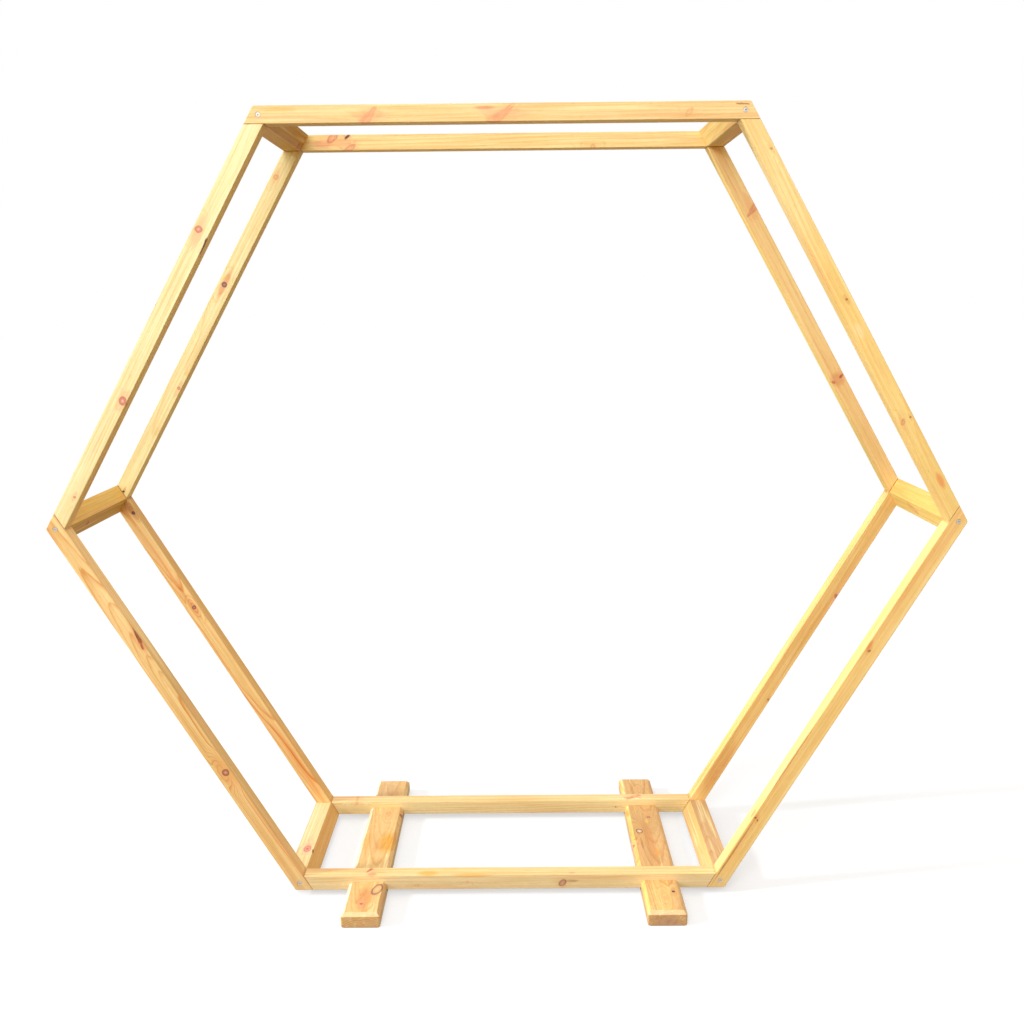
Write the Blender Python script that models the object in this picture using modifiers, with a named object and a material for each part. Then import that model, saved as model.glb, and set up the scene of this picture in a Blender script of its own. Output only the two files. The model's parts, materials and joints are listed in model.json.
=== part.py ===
"""Free-standing hexagonal wedding arch in planed pine.

Two hexagonal frames stand one behind the other. At each of the six corners a cross rail with a
diamond section joins them, and each frame is screwed to its ends. The bottom rails drop into
housings cut in two foot boards, which lie from front to back on the ground.

Metres, +Z up, and the front faces -Y. The origin is on the ground, under the middle of the arch.
Left and right are as seen from the front.
"""

import math

import bmesh
import bpy
from mathutils import Matrix, Vector

# The hexagon
SIDE_LENGTH = 1.25  # each side, measured along its outer edge
FRAME_DEPTH = 0.50  # from the front face of the arch to its back face
RAIL_WIDTH = 0.044  # planed timber, across the face of the hexagon
RAIL_THICKNESS = 0.044  # the same timber, from front to back
RAIL_ARRIS = 0.0015  # the eased edges of the rails
TIP_RADIUS = 0.009  # the sanded outer corners of the hexagon

# The foot boards
FOOT_LENGTH = 0.82
FOOT_WIDTH = 0.110
FOOT_THICKNESS = 0.044
FOOT_CHAMFER = 0.010  # round the top face
FOOT_CORNER_RADIUS = 0.005  # the upright edges
FOOT_HIP_RADIUS = 0.002  # where the chamfer turns a corner
FOOT_LOWER_RADIUS = 0.007  # the long lower edges
FOOT_ARRIS = 0.002  # every other edge of a foot board
HOUSING_DEPTH = 0.025  # how far a bottom rail sinks into a foot board
LEFT_FOOT_INSET = 0.212  # from the end of the bottom side to the middle of its foot board
RIGHT_FOOT_INSET = 0.188

# The countersunk screws that hold the frames to the ends of the cross rails
SCREW_HEAD_DIAMETER = 0.012
SCREW_SHANK_DIAMETER = 0.006
COUNTERSINK_RIM = 0.0008  # how far a countersink opens beyond the head, all round
COUNTERSINK_DEPTH = 0.0045

# Clearances
JOINT_GAP = 0.0003  # between pieces that are cut to meet each other
HOUSING_CLEARANCE = 0.0005  # on each side of a rail in its housing
CUTTER_OVERSHOOT = 0.002  # how far a cutter runs past the face that it cuts

# How finely round things are divided
TIP_STEPS = 6
ARRIS_STEPS = 2
FOOT_CORNER_STEPS = 4
COUNTERSINK_STEPS = 32

# The corners of a hexagon are 120 degrees, and every slanted cut is made at half of that
CUT_ANGLE = math.radians(60)
CUT_RUN = RAIL_WIDTH / math.tan(CUT_ANGLE)  # how far a slanted cut runs along a rail
APOTHEM = SIDE_LENGTH * math.sin(CUT_ANGLE)  # from the middle to the outer edge of a side
CENTRE_HEIGHT = FOOT_THICKNESS - HOUSING_DEPTH + JOINT_GAP + APOTHEM
FRAME_MIDDLE_Y = (FRAME_DEPTH - RAIL_THICKNESS) / 2
CROSS_RAIL_LENGTH = FRAME_DEPTH - 2 * (RAIL_THICKNESS + JOINT_GAP)
CROSS_RAIL_REACH = RAIL_WIDTH / math.sqrt(3)  # half the diamond's short diagonal
CORNER_RADIUS = SIDE_LENGTH - CROSS_RAIL_REACH  # from the arch's middle to a cross rail's

# The sides, clockwise from the top as seen from the front. A through rail runs out to the
# corner's tip at both ends, and the other rails butt against the inner edges of their
# neighbours.
SIDES = [
    ("top_rail", True),
    ("upper_right_leg", False),
    ("lower_right_leg", True),
    ("bottom_rail", False),
    ("lower_left_leg", True),
    ("upper_left_leg", False),
]
# The corners, clockwise in the same way, so corner n lies between side n - 1 and side n
CORNERS = ["top_left", "top_right", "middle_right", "bottom_right", "bottom_left", "middle_left"]


def clear_scene():
    for item in list(bpy.data.objects):
        bpy.data.objects.remove(item)


def new_collection(name):
    collection = bpy.data.collections.new(name)
    bpy.context.scene.collection.children.link(collection)
    return collection


def move_to(item, collection):
    for holder in list(item.users_collection):
        holder.objects.unlink(item)
    collection.objects.link(item)


def planed_pine(name, colour):
    material = bpy.data.materials.new(name)
    material.use_nodes = True
    shader = material.node_tree.nodes["Principled BSDF"]
    shader.inputs["Base Color"].default_value = (*colour, 1.0)
    shader.inputs["Roughness"].default_value = 0.5
    shader.inputs["Metallic"].default_value = 0.0
    return material


def empty_at(name, place, collection, parent=None):
    empty = bpy.data.objects.new(name, None)
    empty.location = place
    empty.parent = parent
    collection.objects.link(empty)
    return empty


def rounded(before, corner, after, radius, steps=TIP_STEPS):
    """The points of an arc that rounds one corner of an outline."""
    to_before = (before - corner).normalized()
    to_after = (after - corner).normalized()
    half_angle = to_before.angle(to_after) / 2
    centre = corner + (to_before + to_after).normalized() * (radius / math.sin(half_angle))
    tangent_length = radius / math.tan(half_angle)
    start = corner + to_before * tangent_length - centre
    finish = corner + to_after * tangent_length - centre
    arc = start.angle_signed(finish)
    points = []
    for step in range(steps + 1):
        turn = Matrix.Rotation(-arc * step / steps, 2)
        points.append(centre + turn @ start)
    return points


def solid_from_outline(name, points, thickness, material, collection):
    """A plate of an outline's shape, with eased edges. The outline lies in the plate's XY plane."""
    curve = bpy.data.curves.new(name + "_outline", "CURVE")
    curve.dimensions = "2D"
    curve.fill_mode = "BOTH"
    curve.extrude = thickness / 2
    spline = curve.splines.new("POLY")
    spline.points.add(len(points) - 1)
    for spot, point in zip(spline.points, points):
        spot.co = (point.x, point.y, 0, 1)
    spline.use_cyclic_u = True
    drawn = bpy.data.objects.new(name + "_outline", curve)
    collection.objects.link(drawn)

    graph = bpy.context.evaluated_depsgraph_get()
    mesh = bpy.data.meshes.new_from_object(drawn.evaluated_get(graph))
    bpy.data.objects.remove(drawn)
    mesh.name = name
    shape = bmesh.new()
    shape.from_mesh(mesh)
    bmesh.ops.remove_doubles(shape, verts=shape.verts, dist=0.00001)
    bmesh.ops.dissolve_limit(
        shape, angle_limit=math.radians(1), verts=shape.verts, edges=shape.edges
    )
    bmesh.ops.recalc_face_normals(shape, faces=shape.faces)
    shape.to_mesh(mesh)
    shape.free()
    mesh.materials.clear()
    mesh.materials.append(material)

    solid = bpy.data.objects.new(name, mesh)
    collection.objects.link(solid)
    ease_edges(solid, RAIL_ARRIS, 40)
    return solid


def ease_edges(solid, width, sharper_than):
    solid.data.shade_smooth()
    easing = solid.modifiers.new("eased edges", "BEVEL")
    easing.width = width
    easing.segments = ARRIS_STEPS
    easing.limit_method = "ANGLE"
    easing.angle_limit = math.radians(sharper_than)
    easing.harden_normals = True


def cut_away(solid, cutter):
    cut = solid.modifiers.new(cutter.name, "BOOLEAN")
    cut.operation = "DIFFERENCE"
    cut.solver = "EXACT"
    cut.object = cutter


def as_cutter(item, name, collection):
    item.name = name
    move_to(item, collection)
    item.hide_render = True
    item.display_type = "WIRE"
    return item


def rail_outline(is_through):
    """A rail along X with its outer edge on y = 0, and its inner edge RAIL_WIDTH below it."""
    half = SIDE_LENGTH / 2
    if is_through:
        outer, inner = half, half + CUT_RUN
    else:
        inner = half - CUT_RUN - JOINT_GAP / math.sin(CUT_ANGLE)
        outer = inner - CUT_RUN
    inner_left, inner_right = Vector((-inner, -RAIL_WIDTH)), Vector((inner, -RAIL_WIDTH))
    outer_left, outer_right = Vector((-outer, 0)), Vector((outer, 0))
    if not is_through:
        return [inner_left, outer_left, outer_right, inner_right]
    left_tip = rounded(inner_left, outer_left, outer_right, TIP_RADIUS)
    right_tip = rounded(outer_left, outer_right, inner_right, TIP_RADIUS)
    return [inner_left, *left_tip, *right_tip, inner_right]


def cross_rail_outline():
    """The diamond where two sides overlap. +X points out of the arch, to the sanded tip."""
    inside, tip = Vector((-CROSS_RAIL_REACH, 0)), Vector((CROSS_RAIL_REACH, 0))
    above, below = Vector((0, RAIL_WIDTH)), Vector((0, -RAIL_WIDTH))
    return [inside, above, *rounded(above, tip, below, TIP_RADIUS), below]


def corner_place(index, radius):
    """A point on the ray from the arch's middle to a corner, as X and Z."""
    angle = math.radians(120 - 60 * index)
    return radius * math.cos(angle), radius * math.sin(angle)


def countersink_cutter(name, x, y, z, facing, collection):
    """A cone that opens towards the face. facing is -1 for the front and 1 for the back."""
    mouth = SCREW_HEAD_DIAMETER / 2 + COUNTERSINK_RIM
    throat = SCREW_SHANK_DIAMETER / 2
    flare = (mouth - throat) / COUNTERSINK_DEPTH
    bpy.ops.mesh.primitive_cone_add(
        vertices=COUNTERSINK_STEPS,
        radius1=mouth + flare * CUTTER_OVERSHOOT,
        radius2=throat,
        depth=COUNTERSINK_DEPTH + CUTTER_OVERSHOOT,
        location=(x, y + facing * (CUTTER_OVERSHOOT - COUNTERSINK_DEPTH) / 2, z),
        rotation=(facing * math.radians(90), 0, 0),
    )
    return as_cutter(bpy.context.object, name, collection)


def hexagon_frame(side_of_arch, facing, arch, material, parts, cutters):
    """Six rails in one plane, with a countersink at each corner in their outer face."""
    frame = empty_at(
        side_of_arch + "_frame", (0, facing * FRAME_MIDDLE_Y, CENTRE_HEIGHT), parts, arch
    )
    for index, (side, is_through) in enumerate(SIDES):
        name = f"{side_of_arch}_{side}"
        rail = solid_from_outline(name, rail_outline(is_through), RAIL_THICKNESS, material, parts)
        turn = math.radians(60 * index)
        rail.parent = frame
        rail.location = (APOTHEM * math.sin(turn), 0, APOTHEM * math.cos(turn))
        rail.rotation_euler = (math.radians(90), turn, 0)
        if not is_through:
            continue
        for corner in (index, (index + 1) % len(CORNERS)):
            x, z = corner_place(corner, CORNER_RADIUS)
            cutter = countersink_cutter(
                f"{side_of_arch}_{CORNERS[corner]}_countersink",
                x,
                facing * FRAME_DEPTH / 2,
                CENTRE_HEIGHT + z,
                facing,
                cutters,
            )
            cut_away(rail, cutter)


def cross_rails(arch, material, parts):
    for index, corner in enumerate(CORNERS):
        rail = solid_from_outline(
            corner + "_cross_rail", cross_rail_outline(), CROSS_RAIL_LENGTH, material, parts
        )
        x, z = corner_place(index, CORNER_RADIUS)
        rail.parent = arch
        rail.location = (x, 0, CENTRE_HEIGHT + z)
        rail.rotation_euler = (math.radians(90), math.radians(60 * index - 120), 0)


def foot_levels():
    """Heights up a foot board. Each has the inset of its sides, of its ends, and its corner radius."""
    levels = []
    for step in range(FOOT_CORNER_STEPS + 1):
        turn = math.radians(90) * step / FOOT_CORNER_STEPS
        height = FOOT_LOWER_RADIUS * (1 - math.cos(turn))
        side = FOOT_LOWER_RADIUS * (1 - math.sin(turn))
        levels.append((height, side, max(0.0, FOOT_ARRIS - height), FOOT_CORNER_RADIUS))
    below = Vector((0, FOOT_THICKNESS / 2))
    shoulder = Vector((0, FOOT_THICKNESS - FOOT_CHAMFER))
    brow = Vector((FOOT_CHAMFER, FOOT_THICKNESS))
    beyond = Vector((FOOT_WIDTH / 2, FOOT_THICKNESS))
    for point in (
        *rounded(below, shoulder, brow, FOOT_ARRIS, ARRIS_STEPS),
        *rounded(shoulder, brow, beyond, FOOT_ARRIS, ARRIS_STEPS),
    ):
        radius = max(FOOT_CORNER_RADIUS - point.x, FOOT_HIP_RADIUS)
        levels.append((point.y, point.x, point.x, radius))
    return levels


def foot_board(name, x, arch, material, parts, cutters):
    """A board from front to back, chamfered round its top and housed for both bottom rails."""
    shape = bmesh.new()
    rings = []
    for height, side, end, radius in foot_levels():
        far_x, far_y = FOOT_WIDTH / 2 - side, FOOT_LENGTH / 2 - end
        corners = [
            Vector((-far_x, -far_y)),
            Vector((-far_x, far_y)),
            Vector((far_x, far_y)),
            Vector((far_x, -far_y)),
        ]
        ring = []
        for index, corner in enumerate(corners):
            after = corners[(index + 1) % 4]
            for point in rounded(corners[index - 1], corner, after, radius, FOOT_CORNER_STEPS):
                ring.append(shape.verts.new((point.x, point.y, height)))
        rings.append(ring)
    for lower, upper in zip(rings, rings[1:]):
        for index in range(len(lower)):
            after = (index + 1) % len(lower)
            shape.faces.new((lower[index], upper[index], upper[after], lower[after]))
    shape.faces.new(rings[0])
    shape.faces.new(reversed(rings[-1]))
    bmesh.ops.recalc_face_normals(shape, faces=shape.faces)
    mesh = bpy.data.meshes.new(name)
    shape.to_mesh(mesh)
    shape.free()
    mesh.materials.append(material)
    foot = bpy.data.objects.new(name, mesh)
    parts.objects.link(foot)
    foot.parent = arch
    foot.location = (x, 0, 0)

    housing_top = FOOT_THICKNESS + CUTTER_OVERSHOOT
    housing_floor = FOOT_THICKNESS - HOUSING_DEPTH
    for facing, side_of_arch in ((-1, "front"), (1, "back")):
        bpy.ops.mesh.primitive_cube_add(
            size=1,
            location=(x, facing * FRAME_MIDDLE_Y, (housing_top + housing_floor) / 2),
            scale=(
                FOOT_WIDTH + 2 * CUTTER_OVERSHOOT,
                RAIL_THICKNESS + 2 * HOUSING_CLEARANCE,
                housing_top - housing_floor,
            ),
        )
        cutter = as_cutter(bpy.context.object, f"{name}_{side_of_arch}_housing", cutters)
        cut_away(foot, cutter)


def main():
    clear_scene()
    parts = new_collection("wedding_arch")
    cutters = new_collection("cutters")
    arch = empty_at("arch", (0, 0, 0), parts)
    frame_pine = planed_pine("frame pine", (0.80, 0.56, 0.25))
    cross_pine = planed_pine("cross rail pine", (0.72, 0.48, 0.19))
    foot_pine = planed_pine("foot board pine", (0.74, 0.50, 0.22))
    hexagon_frame("front", -1, arch, frame_pine, parts, cutters)
    hexagon_frame("back", 1, arch, frame_pine, parts, cutters)
    cross_rails(arch, cross_pine, parts)
    left_x = LEFT_FOOT_INSET - SIDE_LENGTH / 2
    right_x = SIDE_LENGTH / 2 - RIGHT_FOOT_INSET
    foot_board("left_foot", left_x, arch, foot_pine, parts, cutters)
    foot_board("right_foot", right_x, arch, foot_pine, parts, cutters)
    bpy.context.view_layer.update()


main()
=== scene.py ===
import json
import math

import bmesh
import bpy
from mathutils import Matrix, Vector

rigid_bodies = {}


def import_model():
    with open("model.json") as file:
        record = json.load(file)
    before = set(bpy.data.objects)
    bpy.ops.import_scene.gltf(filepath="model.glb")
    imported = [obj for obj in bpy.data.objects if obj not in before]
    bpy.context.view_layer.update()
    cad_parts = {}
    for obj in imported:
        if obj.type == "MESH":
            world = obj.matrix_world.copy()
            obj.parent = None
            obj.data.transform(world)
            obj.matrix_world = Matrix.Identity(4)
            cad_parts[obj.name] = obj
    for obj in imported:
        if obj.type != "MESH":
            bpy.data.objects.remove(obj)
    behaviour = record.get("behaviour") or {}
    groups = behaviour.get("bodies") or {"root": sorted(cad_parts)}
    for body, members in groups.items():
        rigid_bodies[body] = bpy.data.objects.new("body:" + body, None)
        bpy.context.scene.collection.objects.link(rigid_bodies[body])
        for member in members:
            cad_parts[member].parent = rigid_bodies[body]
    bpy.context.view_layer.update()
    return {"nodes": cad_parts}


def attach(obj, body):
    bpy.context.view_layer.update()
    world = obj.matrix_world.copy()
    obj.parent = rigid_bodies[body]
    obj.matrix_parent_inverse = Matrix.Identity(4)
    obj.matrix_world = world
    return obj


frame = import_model()
print("frame loaded:", len(frame["nodes"]), "pieces")

# Sizes shared with the solids, in metres
arch = {
    "sideLength": 1.25,  # along the outer edge
    "depth": 0.50,
    "timber": 0.044,  # square section
    "footHousing": 0.025,
    "footThickness": 0.044,
    "footInset": {"left": 0.212, "right": 0.188},  # from the ends of the bottom side
    "jointGap": 0.0003,
}
mm = 0.001
apothem = arch["sideLength"] * math.sin(math.radians(60))
centreHeight = arch["footThickness"] - arch["footHousing"] + arch["jointGap"] + apothem
cornerRadius = arch["sideLength"] - arch["timber"] / math.sqrt(3)
frameY = (arch["depth"] - arch["timber"]) / 2

# Sides and corners, clockwise as seen from the front
sides = ("top_rail", "upper_right_leg", "lower_right_leg",
         "bottom_rail", "lower_left_leg", "upper_left_leg")
corners = ("top_left", "top_right", "middle_right", "bottom_right", "bottom_left", "middle_left")

# Blender's names for the nodes used most, and settings that many of them share
maths, vector, fade = "ShaderNodeMath", "ShaderNodeVectorMath", "ShaderNodeMapRange"
noise, mix, split = "ShaderNodeTexNoise", "ShaderNodeMix", "ShaderNodeSeparateXYZ"
smooth = {"interpolation_type": "SMOOTHSTEP"}
inColour = {"data_type": "RGBA"}
sceneObjects = bpy.context.scene.collection.objects


def linear(hexColour):
    channels = [int(hexColour[i:i + 2], 16) / 255 for i in (1, 3, 5)]
    return [c / 12.92 if c < 0.04045 else ((c + 0.055) / 1.055) ** 2.4 for c in channels] + [1.0]


def add(tree, kind, values=None, stops=None, **settings):
    # makes a node, sets or links its inputs, and gives its outputs
    made = tree.nodes.new(kind)
    for name, value in settings.items():
        setattr(made, name, value)
    for socket, value in (values or {}).items():
        if isinstance(value, bpy.types.NodeSocket):
            tree.links.new(value, made.inputs[socket])
        else:
            made.inputs[socket].default_value = value
    if stops:  # a ramp's positions and grey levels
        elements = made.color_ramp.elements
        elements[0].position = stops[0][0]
        elements[1].position = stops[-1][0]
        for position, level in stops[1:-1]:
            elements.new(position)
        for element, (position, level) in zip(elements, stops):
            element.color = (level, level, level, 1)
    return made.outputs


def newGroup(name, takes, gives):
    # takes and gives list the names of the sockets under Vector, Float or Color
    tree = bpy.data.node_groups.new(name, "ShaderNodeTree")
    for way, sockets in (("INPUT", takes), ("OUTPUT", gives)):
        for kind, names in sockets.items():
            for socket in names.split():
                tree.interface.new_socket(socket, in_out=way, socket_type="NodeSocket" + kind)
    return tree, tree.nodes.new("NodeGroupInput").outputs


# How a knot shapes and colours the wood; lengths are in its own radii unless they say mm
knotForm = {
    "narrowest": 0.25,  # a branch is never thinner than this share of its radius
    "grainFlow": (0.30, 1, 1),  # grain flows round a knot in a longer, flatter shape
    "endBlur": 4.0,  # mm before and after its reach in which a branch fades out
    "fibres": (0.5, 0.06),  # in each mm across the branch and along it
    "push": (2.9, 1.9),  # how far out it bends the rings, and by how much
    "halo": (1.9, 0.7, 0.4),  # where warm wood round it starts and is full, and its share
    "middle": (0.1, 0.5),  # where the middle's colour starts to fade and is gone
    "rings": 2.6,  # in each radius
    "bark": (0.58, 0.90),  # where the rim starts and is full
    "outside": (0.45, 1.10),  # its outline ends here: what softness adds, and a firm knot's
    "inside": (-0.5, 0.92),  # and is full here
    "gaps": (0.62, 0.36),  # levels of the fibres where a soft knot shows the wood
}


# Where a knot lies: how far any point is from the branch, and how it pushes the rings aside
def makeKnotShape(form):
    tree, given = newGroup(
        "pine knot shape", {"Vector": "Point Centre Lean", "Float": "Radius Reach Spread"},
        {"Float": "Near Around Inside Streak Pull"})
    lean = given["Lean"]
    away = add(tree, vector, {0: given["Point"], 1: given["Centre"]}, operation="SUBTRACT")[0]
    along = add(tree, vector, {0: away, 1: lean}, operation="DOT_PRODUCT")["Value"]
    # a branch widens from the log's middle outwards
    share = add(tree, maths, {0: along, 1: given["Reach"]}, operation="DIVIDE")[0]
    wider = add(tree, maths, {0: share, 1: given["Spread"], 2: 1.0}, operation="MULTIPLY_ADD")
    wider = add(tree, maths, {0: wider[0], 1: form["narrowest"]}, operation="MAXIMUM")
    width = add(tree, maths, {0: wider[0], 1: given["Radius"]}, operation="MULTIPLY")[0]
    # the distance from the branch's middle line, for the knot and for the grain round it
    aside = add(tree, vector, {0: away, 1: lean}, operation="CROSS_PRODUCT")[0]
    flow = add(tree, vector, {0: away, 1: form["grainFlow"]}, operation="MULTIPLY")[0]
    flow = add(tree, vector, {0: flow, 1: lean}, operation="CROSS_PRODUCT")[0]
    found = {}
    for name, offset in (("Near", aside), ("Around", flow)):
        distance = add(tree, vector, {0: offset}, operation="LENGTH")["Value"]
        found[name] = add(tree, maths, {0: distance, 1: width}, operation="DIVIDE")[0]
    # the branch ends at its reach
    size = add(tree, maths, {0: along}, operation="ABSOLUTE")[0]
    past = add(tree, maths, {0: size, 1: given["Reach"]}, operation="SUBTRACT")[0]
    found["Inside"] = add(tree, fade, {"Value": past, "From Min": form["endBlur"],
                                       "From Max": -form["endBlur"]}, **smooth)[0]
    # a branch's own fibres, about 2 mm apart, run along it
    fine, long = ([lines] * 3 for lines in form["fibres"])
    run = add(tree, vector, {0: lean, "Scale": along}, operation="SCALE")[0]
    run = add(tree, vector, {0: run, 1: long}, operation="MULTIPLY")[0]
    fibre = add(tree, vector, {0: aside, 1: fine, 2: run}, operation="MULTIPLY_ADD")[0]
    found["Streak"] = add(tree, noise, {"Vector": fibre, "Scale": 1.0, "Detail": 2.0})["Fac"]
    pull = add(tree, fade, {"Value": found["Around"], "From Min": form["push"][0],
                            "From Max": 0.0, "To Max": form["push"][1]}, **smooth)[0]
    for other in (given["Radius"], found["Inside"]):
        pull = add(tree, maths, {0: pull, 1: other}, operation="MULTIPLY")[0]
    add(tree, "NodeGroupOutput", {**found, "Pull": pull})
    return tree


# What a knot's colours do to the wood round it
def makeKnotColour(form):
    tree, given = newGroup("pine knot colour", {
        "Color": "Wood Middle Heart Rim Halo",
        "Float": "Near Around Inside Streak Share Edge Soft"}, {"Color": "Wood"})
    near, streak, soft = given["Near"], given["Streak"], given["Soft"]
    # warm wood round the knot
    start, full, most = form["halo"]
    halo = add(tree, fade, {"Value": given["Around"], "From Min": start, "From Max": full,
                            "To Max": most}, **smooth)[0]
    for other in (given["Inside"], given["Share"]):
        halo = add(tree, maths, {0: halo, 1: other}, operation="MULTIPLY")[0]
    # a paler middle, the knot's own rings, and its rim, which is bark in a dead knot
    out, rim = (add(tree, fade, {"Value": near, "From Min": start, "From Max": full}, **smooth)[0]
                for start, full in (form["middle"], form["bark"]))
    ring = add(tree, maths, {0: near, 1: form["rings"], 2: streak}, operation="MULTIPLY_ADD")
    ring = add(tree, maths, {0: ring[0], 1: 0.5}, operation="PINGPONG")[0]
    ring = add(tree, maths, {0: ring, 1: 0.5}, operation="MULTIPLY")[0]
    rim = add(tree, maths, {0: rim, 1: given["Edge"]}, operation="MULTIPLY")[0]
    branch = given["Middle"]
    for share, colour in ((out, "Heart"), (ring, "Rim"), (rim, "Rim")):
        branch = add(tree, mix, {0: share, 6: branch, 7: given[colour]}, **inColour)[2]
    # a soft knot fades into the wood, and shows it between its fibres
    outside, inside = (add(tree, maths, {0: soft, 1: more, 2: firm}, operation="MULTIPLY_ADD")[0]
                       for more, firm in (form["outside"], form["inside"]))
    body = add(tree, fade, {"Value": near, "From Min": outside, "From Max": inside}, **smooth)[0]
    gaps = add(tree, fade, {"Value": streak, "From Min": form["gaps"][0],
                            "From Max": form["gaps"][1]}, **smooth)[0]
    gaps = add(tree, maths, {0: gaps, 1: soft}, operation="MULTIPLY")[0]
    solid = add(tree, maths, {0: 1.0, 1: gaps}, operation="SUBTRACT")[0]
    for other in (solid, given["Inside"], given["Share"]):
        body = add(tree, maths, {0: body, 1: other}, operation="MULTIPLY")[0]
    wood = given["Wood"]
    for share, colour in ((halo, given["Halo"]), (body, branch)):
        wood = add(tree, mix, {0: share, 6: wood, 7: colour}, **inColour)[2]
    add(tree, "NodeGroupOutput", {"Wood": wood})
    return tree


knotShape, knotColour = makeKnotShape(knotForm), makeKnotColour(knotForm)

# The kinds of knot in these timbers: how much of the wood a knot hides, how strong its rim is,
# and how softly it ends
knotLooks = {
    "rosy": {"middle": "#F8CCB0", "heart": "#DE8A7A", "rim": "#C4605A", "halo": "#F2B48C",
             "share": 0.92, "edge": 0.8, "soft": 0.2},
    "purple": {"middle": "#C08C8C", "heart": "#965A68", "rim": "#5E3848", "halo": "#DE9458",
               "share": 0.9, "edge": 0.9, "soft": 0.1},
    "ring": {"middle": "#F4D494", "heart": "#E6B878", "rim": "#7E5058", "halo": "#E2AC62",
             "share": 0.85, "edge": 1.0, "soft": 0.1},
    "brown": {"middle": "#C88E62", "heart": "#B06A48", "rim": "#7E4432", "halo": "#DE9850",
              "share": 0.85, "edge": 0.8, "soft": 0.2},
    "spike": {"middle": "#EE9E72", "heart": "#E08A62", "rim": "#C86A50", "halo": "#F2B080",
              "share": 0.9, "edge": 0.4, "soft": 0.7},
    "pale": {"middle": "#EFC48C", "heart": "#E8AC74", "rim": "#D08A58", "halo": "#F0BC80",
             "share": 0.6, "edge": 0.6, "soft": 0.4},
    "dark": {"middle": "#6E3C38", "heart": "#5E3034", "rim": "#3E2228", "halo": "#C07A48",
             "share": 0.95, "edge": 0.9, "soft": 0.0},
}


def knot(look, at, radius, lean=(0, 0, 1), reach=60.0, spread=0.0, **changes):
    # the branch comes out along lean, ends at its reach, and widens by spread on the way
    return {**knotLooks[look], "at": at, "radius": radius, "reach": reach, "spread": spread,
            "lean": Vector(lean).normalized(), **changes}


# What all the timbers share, in mm; a timber's own values go before these
pine = {
    # each pattern's length along the timber, its width and its detail; real fibres are
    # 0.04 mm wide, and are drawn at 1.4 mm so that they show
    "patterns": {
        "uneven": (16, 10, 2), "bend": (420, 160, 1.5), "ripple": (110, 14, 2),
        "streak": (480, 6, 2), "fibre": (80, 1.4, 2), "cloud": (200, 40, 2),
        "drift": (420, 14, 2), "fleck": (22, 1.6, 0)},
    "apart": (977.0, 331.0, 613.0),  # from one timber's patterns to the next one's
    "wander": (4, 3, 3),  # of the knots' outlines
    "wave": 16.0,  # how far a log's middle strays in each half metre
    "ripple": 1.6,  # short waves of the rings
    "spell": 17.0,  # how long rings stay wide or narrow
    "spellRings": 2.2,  # what such a spell gains or loses
    # how late the wood is through each ring
    "ringTone": ((0.0, 0.4), (0.07, 0), (0.60, 0.04), (0.84, 0.55), (0.92, 1), (1.0, 0.8)),
    "boldness": (0.37, 0.3),  # how fast it changes from ring to ring, and the faintest
    "contrast": 0.6,  # of the rings
    "latewood": "#F4C89A",
    "heartBlur": 5.0,  # before and after the heartwood's edge
    "faceLightAndShadeTurn": (0.78, 0.92, 0.9),  # where a face's painted light and shade starts and is full, and its share
    "stainEdge": (1.25, 0.45),  # where a stain ends and is full, in its own sizes
    # cream and pink drifts: where they start and are full, their shares and colours
    "drifts": ((0.44, 0.30, 0.5, "#FFF0B4"), (0.55, 0.70, 0.4, "#F0B47C")),
    "streaks": 0.12,
    "mottle": 0.02,
    "warmth": {"Red": 0.6, "Green": 1.0, "Blue": 1.8},  # darker wood is also warmer
    "endTurn": (0.84, 0.94),  # how squarely a face looks along the timber when it is an end
    "endTones": ("#FBF4F0", "#E4C8B4"),  # of earlywood and latewood
    "chamfer": "#FAE4B8",
    "chamferTurn": (0.70, 0.10, 0.04, 0.5),  # how it looks along, how exactly, and its share
    "roughness": (0.62, 0.48),  # of earlywood and latewood
    "ior": 1.5,
    "specular": 0.3,
    "relief": (0.6, 0.6, 0.08),  # the fibres' share, the bump's strength and its height
    # faces: painted light and shade, a colour for each face that looks one way
    "faces": [], "knots": [], "stains": [],
}


def timberAxes(name):
    # which way a timber runs, which way is across it, and the point it is measured from
    first, rest = name.split("_", 1)
    if rest == "foot":
        x = arch["footInset"][first] - arch["sideLength"] / 2
        x = x if first == "left" else -x
        return Vector((0, 1, 0)), Vector((-1, 0, 0)), Vector((x, 0, arch["footThickness"]))
    if rest in sides:
        turn = math.radians(60 * sides.index(rest))
        out = Vector((math.sin(turn), 0, math.cos(turn)))
        y = -frameY if first == "front" else frameY
        return (Vector((math.cos(turn), 0, -math.sin(turn))), out,
                out * apothem + Vector((0, y, centreHeight)))
    turn = math.radians(120 - 60 * corners.index(name.removesuffix("_cross_rail")))
    out = Vector((math.cos(turn), 0, math.sin(turn)))
    return Vector((0, 1, 0)), out, out * cornerRadius + Vector((0, 0, centreHeight))


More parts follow.
